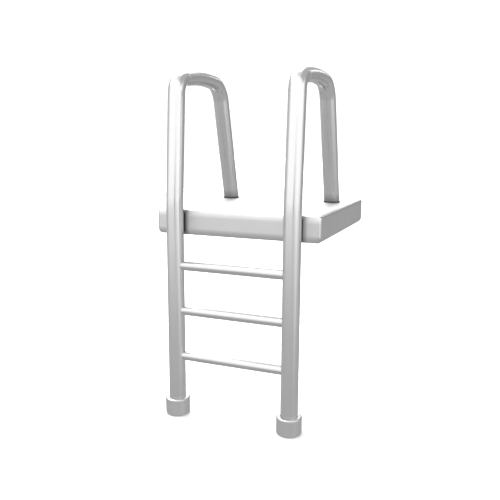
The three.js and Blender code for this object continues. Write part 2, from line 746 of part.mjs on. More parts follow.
for (const [name, side] of [
  ["left", -1],
  ["right", 1],
]) {
  const half = new THREE.Group();
  half.position.x = side * RAIL_X;
  frame.add(half);

  piece(half, `${name}_rail`, rail(side), satinSteel);
  piece(half, `${name}_foot`, foot(), castAluminium);
  piece(half, `${name}_foot_sole`, sole(), greyRubber);
  piece(half, `${name}_leg_plug`, legPlug(), plugPlastic).position.z = FOOT_FLOOR + FIT;
  const footScrew = piece(half, `${name}_foot_screw`, buttonScrew(M8, FOOT_SCREW_LENGTH), fastenerSteel);
  footScrew.position.z = SOLE.thickness - SOLE_WELL.roof - FIT;
  piece(half, `${name}_leg_pad`, legPad(), blackRubber);
  piece(half, `${name}_leg_nut_plate`, nutPlate(), fastenerSteel);
  piece(half, `${name}_socket`, socket(side), fastenerSteel);
  piece(half, `${name}_deck_seal`, deckSeal(), blackRubber);

  for (const [level, height] of Object.entries(RUNG_HEIGHTS)) {
    const joint = new THREE.Group();
    joint.position.z = height;
    half.add(joint);
    piece(joint, `${level}_rung_${name}_fitting`, rungFitting(side), millAluminium);
    const screwShape = buttonScrew(M8, RUNG_SCREW_LENGTH);
    const screw = piece(joint, `${level}_rung_${name}_screw`, screwShape, fastenerSteel);
    screw.position.y = RAIL_RADIUS + FIT;
    screw.rotation.x = Math.PI / 2;
  }

  for (const [level, height] of Object.entries(LEG_BOLT_HEIGHTS)) {
    const reach = FRONT_BEAM_REACH + BEAM.width / 2 + FIT;
    const boltShape = bolt(M10, reach - NUT_PLATE.near + 2 * CUT);
    const legBolt = piece(half, `${name}_leg_bolt_${level}`, boltShape, fastenerSteel);
    legBolt.position.set(0, reach, height);
    legBolt.rotation.x = Math.PI / 2;
  }

  for (const [i, x] of [-SOCKET_BOLT_X, SOCKET_BOLT_X].entries()) {
    for (const [j, y] of [-SOCKET_BOLT_Y, SOCKET_BOLT_Y].entries()) {
      const plateTop = SOCKET_PLATE_BASE + SOCKET_PLATE.thickness + FIT;
      const boltName = `${name}_socket_bolt_${2 * i + j + 1}`;
      const plateBolt = piece(half, boltName, bolt(M8, SOCKET_BOLT_LENGTH), fastenerSteel);
      plateBolt.position.set(x, SOCKET_REACH + y, plateTop);
      plateBolt.rotation.x = Math.PI;
    }
  }

  const [, crossReach, crossHeight] = rearLegPoint(CROSS_BOLT_DEPTH);
  const cross = new THREE.Group();
  cross.position.set(0, crossReach, crossHeight);
  half.add(cross);
  const crossBolt = piece(cross, `${name}_cross_bolt`, bolt(M10, CROSS_BOLT_LENGTH), fastenerSteel);
  crossBolt.position.x = side * (SOCKET_RADIUS + FIT);
  crossBolt.rotation.y = (-side * Math.PI) / 2;

  for (const [place, x] of [
    ["inner", INNER_BEAM_X],
    ["outer", OUTER_BEAM_X],
  ]) {
    piece(frame, `${name}_${place}_beam`, longBeam(side * x), millAluminium);
  }
}

const ladder = new THREE.Group();
ladder.add(frame);

export default ladder;
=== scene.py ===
import math

import bpy
import numpy as np
from mathutils import Matrix, Vector


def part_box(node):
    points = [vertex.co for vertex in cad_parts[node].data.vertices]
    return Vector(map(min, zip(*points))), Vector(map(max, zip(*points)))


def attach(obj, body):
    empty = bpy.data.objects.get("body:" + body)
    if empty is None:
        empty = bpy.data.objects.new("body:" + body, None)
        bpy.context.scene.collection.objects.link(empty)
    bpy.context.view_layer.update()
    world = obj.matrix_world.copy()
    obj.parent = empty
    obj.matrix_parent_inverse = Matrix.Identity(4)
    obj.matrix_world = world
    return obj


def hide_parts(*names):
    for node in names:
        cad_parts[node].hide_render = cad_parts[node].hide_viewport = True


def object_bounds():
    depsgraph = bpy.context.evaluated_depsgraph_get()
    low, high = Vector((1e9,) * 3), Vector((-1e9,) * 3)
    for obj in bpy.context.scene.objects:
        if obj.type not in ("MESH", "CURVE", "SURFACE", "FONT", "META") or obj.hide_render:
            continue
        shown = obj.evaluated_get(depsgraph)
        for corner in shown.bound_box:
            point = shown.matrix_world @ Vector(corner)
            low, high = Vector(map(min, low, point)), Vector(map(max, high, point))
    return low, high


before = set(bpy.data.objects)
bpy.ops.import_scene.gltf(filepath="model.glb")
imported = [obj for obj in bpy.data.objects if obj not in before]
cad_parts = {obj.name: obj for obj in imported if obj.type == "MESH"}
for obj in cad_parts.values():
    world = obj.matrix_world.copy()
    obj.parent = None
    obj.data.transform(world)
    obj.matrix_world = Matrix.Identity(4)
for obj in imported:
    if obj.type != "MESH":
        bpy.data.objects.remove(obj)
cad_low, cad_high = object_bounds()

MM = 0.001

# ------------------------------------------------------------ dimensions of the ladder, in metres

RAIL_RADIUS = 35 * MM
RAIL_WALL = 2 * MM
RAIL_SIDES = 72

LEAN_HEIGHT = 900 * MM
LEAN_ANGLE = math.radians(3.8)
LEAN_BEND = 800 * MM
GRAB_FRONT_HEIGHT = 1383 * MM
GRAB_FRONT_BEND = 60 * MM
GRAB_FRONT_DEPTH = 32 * MM  # half the tube's height in the plane of the bends, at this bend's end
GRAB_MIDDLE = (230 * MM, 1406 * MM, 900 * MM)
GRAB_DEPTH = 29.5 * MM  # the same, along the flattened grip
GRAB_REAR = (428 * MM, 1390 * MM, 105 * MM)
GRAB_REAR_DEPTH = 30.5 * MM
SEAM_WIDTH, SEAM_HEIGHT = 4 * MM, 1.2 * MM  # weld bead where the grip meets the front bend
REAR_LEG_ANGLE = math.radians(14.6)
REAR_LEG_DEPTH = 80 * MM  # length of rear leg below the platform's top
CROSS_BOLT_DEPTH = 56 * MM
BEND_STEP = math.radians(2.5)
LEAST_BEND_STEPS = 6
SEAM_STEPS = 6
BORE_NEAR, BORE_FAR = 15 * MM, 45 * MM  # from a rail's axis, where a drill through its wall starts and ends
HOLE_MARGIN = 22 * MM  # from a hole's middle to the nearest ring of the rail's mesh

RUNG_RADIUS = 19 * MM
RUNG_WALL = 1.5 * MM
RUNG_SIDES = 48
RUNG_SLICES = 9
RUNG_GAP = 0.1 * MM  # between a rung's coped end and the rail
SPIGOT_HOLE = 10.5 * MM

FOOT_RADIUS = 51 * MM
FOOT_FLOOR = 16 * MM
FOOT_EDGE = 6 * MM
FOOT_BORE = 35.4 * MM
FOOT_BORE_EDGE = 1.2 * MM
SOLE_RADIUS = 42 * MM
SOLE_THICKNESS = 7 * MM
SOLE_PROUD = 2 * MM
SOLE_EDGE = 1.5 * MM
SOLE_WELL = 8.5 * MM  # room round the screw's head
SOLE_ROOF = 1 * MM  # rubber above it
GROOVE_RADII = (17 * MM, 25 * MM, 33 * MM)
GROOVE_HALF, GROOVE_DEPTH = 1.2 * MM, 1.0 * MM
FOOT_SIDES = 96

DECK_EDGE = 14 * MM
# How far each edge's oval rounding reaches inwards and how tall it is.
FRONT_ROUNDING = {"top": (14 * MM, 30 * MM), "base": (14 * MM, 30 * MM)}
OTHER_ROUNDING = {"top": (9 * MM, 11 * MM), "base": (14 * MM, 24 * MM)}
DECK_CORNER = 17 * MM
DECK_LEAST_CORNER = 2 * MM
DECK_SHEET = 3 * MM
EDGE_STEPS = 16
CORNER_STEPS = 10
SEAT_RADIUS = 37.1 * MM
LEG_HOLE = 37.7 * MM
SEAT_SIDES, LEG_HOLE_SIDES = 96, 64
LEG_BOLT_REACH = 50 * MM

# The pad's lips reach out beside each front leg, so its black rubber shows there as the shade of the
# crevice between leg and platform.
PAD_INNER, PAD_OUTER = 35.6 * MM, 36.8 * MM
PAD_LIP_FRONT, PAD_LIP_BACK, PAD_LIP_END = 27.2 * MM, 29.7 * MM, 31 * MM
LIP_STEPS, PAD_STEPS = 6, 24

SEAL_BORE = 35.1 * MM
SEAL_SLEEVE = 36.8 * MM
SEAL_LIP = 38.2 * MM
SEAL_HEIGHT = 4 * MM
SEAL_EDGE = 1.2 * MM
SEAL_SIDES = 72

M5_RADIUS, M5_HEAD, M5_DEPTH = 2.5 * MM, 4.8 * MM, 2.2 * MM
M5_HEX, M5_HEX_DEPTH, M5_CHAMFER = 3.4 * MM, 1.3 * MM, 0.6 * MM
M5_RIM = 0.25 * MM
SINK_START, SINK_END = -0.5 * MM, 5 * MM  # of the cutter for the cover's screw holes
SINK_RIM, SINK_SLACK = 0.3 * MM, 0.2 * MM
M8_RADIUS, M8_HEAD, M8_HEIGHT = 4 * MM, 7 * MM, 4.5 * MM
M8_HEX, M8_CHAMFER = 5.4 * MM, 0.8 * MM
M8_FLAT = 0.55  # share of the head's radius that is flat on top
M8_SKIRT, M8_FLOOR = 0.25, 0.35  # shares of its height, to the dome's edge and to the socket's floor
M10_HOLE = 5.5 * MM
SCREW_SIDES = 40
DOME_STEPS = 6
HOLE_SIDES = 24
HOLE_GAP = 0.5 * MM
FIT = 0.3 * MM

# ------------------------------------------------------------ positions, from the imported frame

foot_low, foot_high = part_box("right_foot")
deck_low, deck_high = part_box("deck_shell")
cover_low, cover_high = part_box("deck_base_cover")
RAIL_X = (foot_low.x + foot_high.x) / 2
FRONT_Y = (foot_low.y + foot_high.y) / 2
FOOT_TOP = foot_high.z
DECK_TOP = deck_high.z
LEVELS = ("lower", "middle", "upper")
COVER_SCREWS = range(1, 5)
SIDES = (("left", -1), ("right", 1))


def middle(node):
    low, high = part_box(node)
    return (low + high) / 2


RUNG_HEIGHTS = {level: middle(f"{level}_rung").z for level in LEVELS}
LEG_BOLT_HEIGHTS = [middle(f"left_leg_bolt_{place}").z for place in ("lower", "upper")]
LEAN_REACH = (GRAB_FRONT_HEIGHT - LEAN_HEIGHT) * math.tan(LEAN_ANGLE)
REAR_LEG_REACH = GRAB_REAR[0] + (GRAB_REAR[1] - DECK_TOP) * math.tan(REAR_LEG_ANGLE)

# ------------------------------------------------------------ node helpers


class Nodes:
    """A node tree with short calls for the nodes the materials use."""

    def __init__(self, tree):
        self.tree = tree
        tree.nodes.clear()

    def add(self, kind, links=None, values=None, **settings):
        node = self.tree.nodes.new("ShaderNode" + kind)
        for key, value in settings.items():
            setattr(node, key, value)
        for key, value in (values or {}).items():
            node.inputs[key].default_value = value
        for key, source in (links or {}).items():
            self.tree.links.new(source, node.inputs[key])
        return node

    def math(self, operation, a, b=0.0):
        node = self.add("Math", operation=operation)
        for socket, value in zip(node.inputs, (a, b)):
            if isinstance(value, (int, float)):
                socket.default_value = value
            else:
                self.tree.links.new(value, socket)
        return node.outputs[0]

    def span(self, value, low, high, out_low=0.0, out_high=1.0, smooth=False):
        node = self.add(
            "MapRange",
            {"Value": value},
            {
                "From Min": low,
                "From Max": high,
                "To Min": out_low,
                "To Max": out_high,
            },
        )
        node.interpolation_type = "SMOOTHSTEP" if smooth else "LINEAR"
        return node.outputs["Result"]

    def noise(self, vector, scale, detail=3.0, roughness=0.5):
        return self.add(
            "TexNoise",
            {"Vector": vector},
            {"Scale": scale, "Detail": detail, "Roughness": roughness},
        ).outputs["Fac"]

    def stretched(self, vector, scale):
        return self.add(
            "Mapping", {"Vector": vector}, {"Scale": scale}, vector_type="POINT"
        ).outputs["Vector"]

    def tint(self, factor, dark, light):
        ramp = self.add("ValToRGB", {"Fac": factor})
        ramp.color_ramp.elements[0].color = (*dark, 1.0)
        ramp.color_ramp.elements[1].color = (*light, 1.0)
        return ramp.outputs["Color"]


def grey(level, warm=0.0):
    return (level * (1 + warm), level, level * (1 - warm))


def new_material(name):
    material = bpy.data.materials.new(name)
    material.use_nodes = True
    return material, Nodes(material.node_tree)


# Noise lies mostly within this range, and these say how far it moves a metal's colour and roughness.
NOISE_RANGE = (0.3, 0.7)
METAL_COLOUR = (0.955, 1.03)
METAL_ROUGHNESS = (0.86, 1.16)
BRUSH_STRETCH = (1.0, 0.03, 1.0)  # the marks of brushing are long along the tube
SMEAR_SCALE = 6  # smears are this much smaller than the mottling


def metal(name, level, rough, grain, bump, mottling, warm=0.0, brushed=False, painted_shade_and_soot=None, rub=None):
    """A satin metal: level is its reflectance, grain the size of its finest marks in metres, bump how
    deep they look and mottling the scale of its soft clouds. A brushed one has its marks along the tube.
    painted_shade_and_soot(nodes, place) gives the share of the reflectance left by painted shade where
    parts meet and by darker weld beads, and rub(nodes, place) what the roughness is multiplied by: less
    than 1 where use has polished it, and more on a weld."""
    material, n = new_material(name)
    place = n.add("TexCoord").outputs["Object"]
    marks = place
    if brushed:
        marks = n.stretched(n.add("UVMap", uv_map="run").outputs["UV"], BRUSH_STRETCH)
    fine = n.noise(marks, 1.0 / grain, 4.0, 0.6)
    broad = n.noise(place, mottling, 3.0, 0.55)
    smear = n.noise(place, mottling * SMEAR_SCALE, 5.0, 0.6)
    mixed = n.math("ADD", n.math("MULTIPLY", fine, 0.45), n.math("MULTIPLY", broad, 0.55))
    dark, light = (grey(min(1.0, level * share), warm) for share in METAL_COLOUR)
    colour = n.tint(n.span(mixed, *NOISE_RANGE), dark, light)
    if painted_shade_and_soot:
        share_left = painted_shade_and_soot(n, place)
        colour = n.add("VectorMath", {0: colour, 1: share_left}, operation="MULTIPLY").outputs["Vector"]
    worn = n.math("ADD", n.math("MULTIPLY", fine, 0.4), n.math("MULTIPLY", smear, 0.6))
    smooth, dull = (rough * share for share in METAL_ROUGHNESS)
    roughness = n.span(worn, *NOISE_RANGE, smooth, dull)
    if rub:
        roughness = n.math("MULTIPLY", roughness, rub(n, place))
    relief = n.add(
        "Bump", {"Height": fine}, {"Strength": bump, "Distance": grain * 0.5}
    ).outputs["Normal"]
    shader = n.add(
        "BsdfPrincipled",
        {"Base Color": colour, "Roughness": roughness, "Normal": relief},
        {"Metallic": 1.0},
    )
    n.add("OutputMaterial", {"Surface": shader.outputs["BSDF"]})
    return material


def rubber(name, level, rough, grain):
    """Moulded rubber or plastic with a fine even grain and a faint bloom."""
    material, n = new_material(name)
    place = n.add("TexCoord").outputs["Object"]
    fine = n.noise(place, 1.0 / grain, 4.0, 0.6)
    bloom = n.noise(place, 28.0, 4.0, 0.6)
    colour = n.tint(n.span(bloom, 0.35, 0.7), grey(level * 0.85), grey(level * 1.25))
    relief = n.add(
        "Bump", {"Height": fine}, {"Strength": 0.35, "Distance": grain * 0.4}
    ).outputs["Normal"]
    shader = n.add(
        "BsdfPrincipled",
        {
            "Base Color": colour,
            "Roughness": n.span(fine, *NOISE_RANGE, rough * 0.9, rough * 1.1),
            "Normal": relief,
        },
    )
    n.add("OutputMaterial", {"Surface": shader.outputs["BSDF"]})
    return material


RAIL_BASE_SHADE, RAIL_BASE_SHADE_HEIGHT = 0.40, 42 * MM  # painted shade at the foot of the rear legs: share of the reflectance left at the platform, and the height it fades over
REAR_PART = (-100 * MM, 0.0)  # along Y, between the front legs, which get no painted shade, and the rear ones
DECK_CREVICE_SHADE = 0.36  # share of the reflectance left by painted shade on the platform's front, beside the legs
DECK_SHADE_FROM, DECK_SHADE_TO = 29 * MM, 50 * MM  # from a rail's axis
DECK_SHADE_DEPTH = (8 * MM, 30 * MM)  # behind the front face, where the painted shade fades out
DECK_RUB = 0.42  # share of the platform's roughness left where use has polished it
DECK_RUB_SIDE, DECK_RUB_TOP, DECK_RUB_FRONT = 11 * MM, 12 * MM, 12 * MM  # in from its faces
DECK_RUB_FADE = 5 * MM
WELD_DULL = 3.4  # how much rougher the weld beads are than the tube
WELD_SOOT = 0.86  # share of the reflectance left on them


def all_but(n, amount):
    return n.math("SUBTRACT", 1.0, amount)


def rail_base_shade(n, place):
    """Painted shade low on the rear legs, darkest where they go into the platform."""
    part = n.add("SeparateXYZ", {"Vector": place})
    low = n.span(part.outputs["Z"], DECK_TOP, DECK_TOP + RAIL_BASE_SHADE_HEIGHT, RAIL_BASE_SHADE, 1.0)
    rear = n.span(part.outputs["Y"], *REAR_PART)
    return all_but(n, n.math("MULTIPLY", rear, all_but(n, low)))


def deck_crevice_shade(n, place):
    """Painted shade in the corner between each leg's pad and the platform's front."""
    part = n.add("SeparateXYZ", {"Vector": place})
    beside = n.math("ABSOLUTE", n.math("SUBTRACT", n.math("ABSOLUTE", part.outputs["X"]), RAIL_X))
    dark = n.span(beside, DECK_SHADE_FROM, DECK_SHADE_TO, 1.0 - DECK_CREVICE_SHADE, 0.0)
    start, end = (deck_low.y + depth for depth in DECK_SHADE_DEPTH)
    return all_but(n, n.math("MULTIPLY", dark, n.span(part.outputs["Y"], start, end, 1.0, 0.0)))


def deck_rub(n, place):
    """The platform's side edges and front corners, polished by use."""
    part = n.add("SeparateXYZ", {"Vector": place})
    out = n.math("ABSOLUTE", part.outputs["X"])
    beside = deck_high.x - DECK_RUB_SIDE
    above = deck_high.z - DECK_RUB_TOP
    turning = deck_high.x - DECK_RUB_FRONT
    ahead = deck_low.y + DECK_RUB_FRONT
    edge = n.math(
        "MULTIPLY",
        n.span(out, beside, beside + MM),
        n.span(part.outputs["Z"], above - MM, above),
    )
    corner = n.math(
        "MULTIPLY",
        n.span(out, turning - DECK_RUB_FADE, turning + DECK_RUB_FADE),
        n.span(part.outputs["Y"], ahead, ahead + MM, 1.0, 0.0),
    )
    return all_but(n, n.math("MULTIPLY", n.math("MAXIMUM", edge, corner), 1.0 - DECK_RUB))


def weld_band(n, place):
    """1 on the weld bead behind each rail's front bend."""
    corner = Vector((LEAN_REACH, GRAB_FRONT_HEIGHT))
    after = (Vector(GRAB_MIDDLE[:2]) - corner).normalized()
    before = Vector((math.sin(LEAN_ANGLE), math.cos(LEAN_ANGLE)))
    start = FRONT_Y + corner.x + after.x * GRAB_FRONT_BEND * math.tan(before.angle(after) / 2)
    end = start + SEAM_WIDTH
    part = n.add("SeparateXYZ", {"Vector": place})
    return n.math(
        "MULTIPLY",
        n.span(part.outputs["Y"], start - MM, start),
        n.span(part.outputs["Y"], end, end + MM, 1.0, 0.0),
    )


def weld_dulling(n, place):
    return n.math("ADD", 1.0, n.math("MULTIPLY", weld_band(n, place), WELD_DULL - 1.0))


def rail_shade_and_soot(n, place):
    """Painted shade low on the rear legs where they meet the platform, and the darker weld beads."""
    weld = all_but(n, n.math("MULTIPLY", weld_band(n, place), 1.0 - WELD_SOOT))
    return n.math("MULTIPLY", rail_base_shade(n, place), weld)


# The rail and platform metals take painted shade where parts meet, from the masks above.
rail_steel = metal(
    "rail_steel", 0.64, 0.22, 0.5 * MM, 0.03, 5.0, brushed=True, painted_shade_and_soot=rail_shade_and_soot, rub=weld_dulling
)
rung_steel = metal("rung_steel", 0.57, 0.34, 0.5 * MM, 0.03, 6.0, brushed=True)
foot_metal = metal("foot_aluminium", 0.62, 0.30, 0.9 * MM, 0.06, 14.0)
deck_metal = metal(
    "platform_aluminium", 0.60, 0.48, 0.7 * MM, 0.03, 3.0, painted_shade_and_soot=deck_crevice_shade, rub=deck_rub
)
cover_metal = metal("cover_aluminium", 0.88, 0.34, 0.8 * MM, 0.08, 4.0)
mill_metal = metal("mill_aluminium", 0.72, 0.42, 1.0 * MM, 0.10, 9.0)
screw_steel = metal("screw_steel", 0.70, 0.26, 0.4 * MM, 0.06, 60.0)
socket_metal = metal("socket_steel", 0.62, 0.40, 1.2 * MM, 0.15, 25.0, warm=0.01)
sole_rubber = rubber("sole_rubber", 0.16, 0.75, 0.8 * MM)
seal_rubber = rubber("seal_rubber", 0.028, 0.6, 0.5 * MM)
plug_plastic = rubber("plug_plastic", 0.27, 0.55, 0.6 * MM)

# ------------------------------------------------------------ mesh helpers


SHARP = math.radians(32)
TINY = 1e-7


def mesh_object(name, points, faces, material=None, uvs=None):
    mesh = bpy.data.meshes.new(name)
    mesh.from_pydata([tuple(p) for p in points], [], faces)
    if uvs is not None:
        layer = mesh.uv_layers.new(name="run")
        layer.data.foreach_set("uv", np.array(uvs, np.float32).ravel())
    mesh.validate()
    obj = bpy.data.objects.new(name, mesh)
    bpy.context.scene.collection.objects.link(obj)
    if material is not None:
        mesh.materials.append(material)
    return obj


def drop(obj):
    mesh = obj.data
    bpy.data.objects.remove(obj)
    bpy.data.meshes.remove(mesh)


def combine(obj, other, operation):
    """Joins, cuts or intersects obj with other, which is then gone."""
    modifier = obj.modifiers.new("combine", "BOOLEAN")
    modifier.operation = operation
    modifier.solver = "EXACT"
    modifier.object = other
    bpy.context.view_layer.update()
    graph = bpy.context.evaluated_depsgraph_get()
    made = bpy.data.meshes.new_from_object(obj.evaluated_get(graph))
    obj.modifiers.clear()
    old = obj.data
    made.name = obj.name
    obj.data = made
    bpy.data.meshes.remove(old)
    drop(other)
    return obj


def cut(obj, *others):
    for other in others:
        combine(obj, other, "DIFFERENCE")
    return obj


def shade(obj, weighted=False):
    """Smooth faces with creases kept; weighted keeps large flat faces truly flat."""
    mesh = obj.data
    mesh.shade_smooth()
    mesh.set_sharp_from_angle(angle=SHARP)
    if weighted:
        modifier = obj.modifiers.new("flat_faces", "WEIGHTED_NORMAL")
        modifier.keep_sharp = True
        modifier.weight = 80
    return obj


def own(obj, slot_name, *nodes):
    """obj stands for these CAD nodes and rides with the ladder's only body."""
    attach(obj, "root")
    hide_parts(*nodes)
    return obj


def arc(centre, radius, start, end, steps):
    """Points on an arc in a plane, angles in degrees."""
    angles = np.radians(np.linspace(start, end, steps + 1))
    return [(centre[0] + radius * math.cos(a), centre[1] + radius * math.sin(a)) for a in angles]


def lathe(name, outline, sides, material=None, place=(0, 0, 0), turn=None, closed=True):
    """Turns [radius, height] points about +Z. A closed outline makes a ring; an open one starts and
    ends on the axis."""
    outline = [p for i, p in enumerate(outline) if i == 0 or math.dist(p, outline[i - 1]) > TINY]
    runs = np.concatenate([[0], np.cumsum([math.dist(a, b) for a, b in zip(outline, outline[1:])])])
    points, rings = [], []
    for radius, height in outline:
        if radius < TINY:
            rings.append([len(points)])
            points.append((0.0, 0.0, height))
            continue
        rings.append(list(range(len(points), len(points) + sides)))
        for k in range(sides):
            a = 2 * math.pi * k / sides
            points.append((radius * math.cos(a), radius * math.sin(a), height))
    faces, uvs = [], []
    widest = max(radius for radius, _ in outline)
    pairs = list(zip(range(len(rings) - 1), range(1, len(rings))))
    if closed:
        pairs.append((len(rings) - 1, 0))
    for i, j in pairs:
        for k in range(sides):
            m = (k + 1) % sides
            a, b = rings[i], rings[j]
            u0, u1 = (2 * math.pi * widest * at / sides for at in (k, k + 1))
            v0, v1 = runs[i], runs[i] + math.dist(outline[i], outline[j])
            if len(a) == 1 and len(b) == 1:
                continue
            if len(a) == 1:
                faces.append((a[0], b[m], b[k]))
                uvs += [(u0, v0), (u1, v1), (u0, v1)]
            elif len(b) == 1:
                faces.append((a[k], a[m], b[0]))
                uvs += [(u0, v0), (u1, v0), (u0, v1)]
            else:
                faces.append((a[k], a[m], b[m], b[k]))
                uvs += [(u0, v0), (u1, v0), (u1, v1), (u0, v1)]
    matrix = Matrix.Translation(Vector(place)) @ (turn or Matrix.Identity(4))
    obj = mesh_object(name, [matrix @ Vector(p) for p in points], faces, material, uvs)
    return outward(obj)


def outward(obj):
    """Makes all faces point out of the closed body."""
    mesh = obj.data
    volume = 0.0
    for polygon in mesh.polygons:
        corners = [mesh.vertices[i].co for i in polygon.vertices]
        for b, c in zip(corners[1:], corners[2:]):
            volume += corners[0].dot(b.cross(c)) / 6
    if volume < 0:
        mesh.flip_normals()
    return obj


def turn_to(direction):
    """The rotation that takes +Z to the given direction."""
    return Vector(direction).to_track_quat("Z", "Y").to_matrix().to_4x4()


def drill(radius, start, end, sides=32):
    """A plain round cutter from one point to another."""
    start, end = Vector(start), Vector(end)
    run = end - start
    outline = [(0, 0), (radius, 0), (radius, run.length), (0, run.length)]
    return lathe("drill", outline, sides, None, start, turn_to(run), closed=False)


# ------------------------------------------------------------ rails


def bent_run(corners, extra=()):
    """Stations along straight runs joined by round bends: (point, tangent, depth, swell). A corner is
    (reach, height, bend, depth where its bend starts, depth where it ends), and a True after these puts
    a weld bead behind the bend, where the tube takes the next corner's depth. extra lists heights on
    the first run that also get a station."""
    points = [Vector((0, c[0], c[1])) for c in corners]
    headings = [(b - a).normalized() for a, b in zip(points, points[1:])]
    stations = [(points[0], headings[0], corners[0][3], 0.0)]
    for height in sorted(extra):
        stations.append((Vector((0, corners[0][0], height)), headings[0], corners[0][3], 0.0))
    for i in range(1, len(points) - 1):
        before, after = headings[i - 1], headings[i]
        bend, depth, end_depth, *seam = corners[i][2:]
        turn = before.angle(after)
        inward = (after - before * math.cos(turn)).normalized()
        start = points[i] - before * (bend * math.tan(turn / 2))
        steps = max(LEAST_BEND_STEPS, math.ceil(turn / BEND_STEP))
        for k in range(steps + 1):
            a = turn * k / steps
            at = start + before * (bend * math.sin(a)) + inward * (bend * (1 - math.cos(a)))
            heading = before * math.cos(a) + inward * math.sin(a)
            stations.append((at, heading, depth + (end_depth - depth) * k / steps, 0.0))
        if seam:
            for k in range(1, SEAM_STEPS + 1):
                share = k / SEAM_STEPS
                stations.append(
                    (
                        at + after * (SEAM_WIDTH * share),
                        after,
                        end_depth + (corners[i + 1][3] - end_depth) * share,
                        SEAM_HEIGHT * math.sin(math.pi * share),
                    )
                )
    stations.append((points[-1], headings[-1], corners[-1][3], 0.0))
    return stations


def tube_object(name, points, sides, runs, radius, material):
    """A hollow tube with open ends. points holds the rings of its outside and then those of its inside,
    and runs says how far along the tube each ring is."""
    count = len(runs)
    faces, uvs = [], []

    def at(layer, i, k):
        return (layer * count + i) * sides + k % sides

    for layer in (0, 1):
        for i in range(count - 1):
            for k in range(sides):
                quad = [at(layer, i, k), at(layer, i, k + 1), at(layer, i + 1, k + 1), at(layer, i + 1, k)]
                u0, u1 = (2 * math.pi * radius * (k + s) / sides for s in (0, 1))
                uv = [(u0, runs[i]), (u1, runs[i]), (u1, runs[i + 1]), (u0, runs[i + 1])]
                if layer:
                    quad.reverse()
                    uv.reverse()
                faces.append(quad)
                uvs += uv
    for i in (0, count - 1):
        for k in range(sides):
            quad = [at(0, i, k), at(0, i, k + 1), at(1, i, k + 1), at(1, i, k)]
            if i == 0:
                quad.reverse()
            faces.append(quad)
            uvs += [(0.0, runs[i])] * 4
    return outward(mesh_object(name, points, faces, material, uvs))


def swept_tube(name, stations, offset, material):
    """A hollow tube along stations in a plane across X. Across that plane its radius is RAIL_RADIUS
    everywhere; swell raises its outside only."""
    points = []
    runs = [0.0]
    for a, b in zip(stations, stations[1:]):
        runs.append(runs[-1] + (b[0] - a[0]).length)
    across = Vector((1, 0, 0))
    for inside in (False, True):
        for centre, tangent, depth, swell in stations:
            up = tangent.cross(across)
            grow = -RAIL_WALL if inside else swell
            for k in range(RAIL_SIDES):
                a = 2 * math.pi * k / RAIL_SIDES
                points.append(
                    offset
                    + centre
                    + across * ((RAIL_RADIUS + grow) * math.cos(a))
                    + up * ((depth + grow) * math.sin(a))
                )
    return tube_object(name, points, RAIL_SIDES, runs, RAIL_RADIUS, material)


def rear_leg_point(depth):
    """A point on the rear leg's axis, the given length of leg below the platform's top."""
    return Vector(
        (
            0,
            FRONT_Y + REAR_LEG_REACH + depth * math.sin(REAR_LEG_ANGLE),
            DECK_TOP - depth * math.cos(REAR_LEG_ANGLE),
        )
    )


def rail(name, side):
    end = rear_leg_point(REAR_LEG_DEPTH)
    extra = [height + d for height in RUNG_HEIGHTS.values() for d in (-HOLE_MARGIN, HOLE_MARGIN)]
    extra += [LEG_BOLT_HEIGHTS[0] - HOLE_MARGIN, LEG_BOLT_HEIGHTS[1] + HOLE_MARGIN]
    full = RAIL_RADIUS
    stations = bent_run(
        [
            (0, FOOT_FLOOR + FIT, 0, full),
            (0, LEAN_HEIGHT, LEAN_BEND, full, full),
            (LEAN_REACH, GRAB_FRONT_HEIGHT, GRAB_FRONT_BEND, full, GRAB_FRONT_DEPTH, True),
            (*GRAB_MIDDLE, GRAB_DEPTH, GRAB_DEPTH),
            (*GRAB_REAR, GRAB_REAR_DEPTH, full),
            (end.y - FRONT_Y, end.z, 0, full),
        ],
        extra,
    )
    x = side * RAIL_X
    start, stop = FRONT_Y + BORE_NEAR, FRONT_Y + BORE_FAR
    tube = swept_tube(f"{name}_rail_tube", stations, Vector((x, FRONT_Y, 0)), rail_steel)
    for z in RUNG_HEIGHTS.values():
        inner = (x - side * BORE_NEAR, FRONT_Y, z), (x - side * BORE_FAR, FRONT_Y, z)
        cut(
            tube,
            drill(SPIGOT_HOLE, *inner),
            drill(M8_RADIUS + HOLE_GAP, (x, start, z), (x, stop, z), HOLE_SIDES),
        )
    for z in LEG_BOLT_HEIGHTS:
        cut(tube, drill(M10_HOLE, (x, start, z), (x, stop, z), HOLE_SIDES))
    bolt = rear_leg_point(CROSS_BOLT_DEPTH)
    ends = [(x + reach, bolt.y, bolt.z) for reach in (-BORE_FAR, BORE_FAR)]
    cut(tube, drill(M10_HOLE, *ends, HOLE_SIDES))
    return own(shade(tube), "rail_steel", f"{name}_rail")


# ------------------------------------------------------------ rungs


def rung(level):
    """A tube whose ends are shaped to lie on the rails."""
    z = RUNG_HEIGHTS[level]
    cope = RAIL_RADIUS + RUNG_GAP
    last = RUNG_SLICES - 1
    points = []
    for radius in (RUNG_RADIUS, RUNG_RADIUS - RUNG_WALL):
        for i in range(RUNG_SLICES):
            for k in range(RUNG_SIDES):
                a = 2 * math.pi * k / RUNG_SIDES
                y = radius * math.cos(a)
                end = RAIL_X - math.sqrt(cope**2 - y**2)
                points.append((end * (2 * i / last - 1), FRONT_Y + y, z + radius * math.sin(a)))
    runs = [2 * RAIL_X * i / last for i in range(RUNG_SLICES)]
    tube = tube_object(f"{level}_rung_tube", points, RUNG_SIDES, runs, RUNG_RADIUS, rung_steel)
    return own(shade(tube), "rung_steel", f"{level}_rung")


# ------------------------------------------------------------ feet


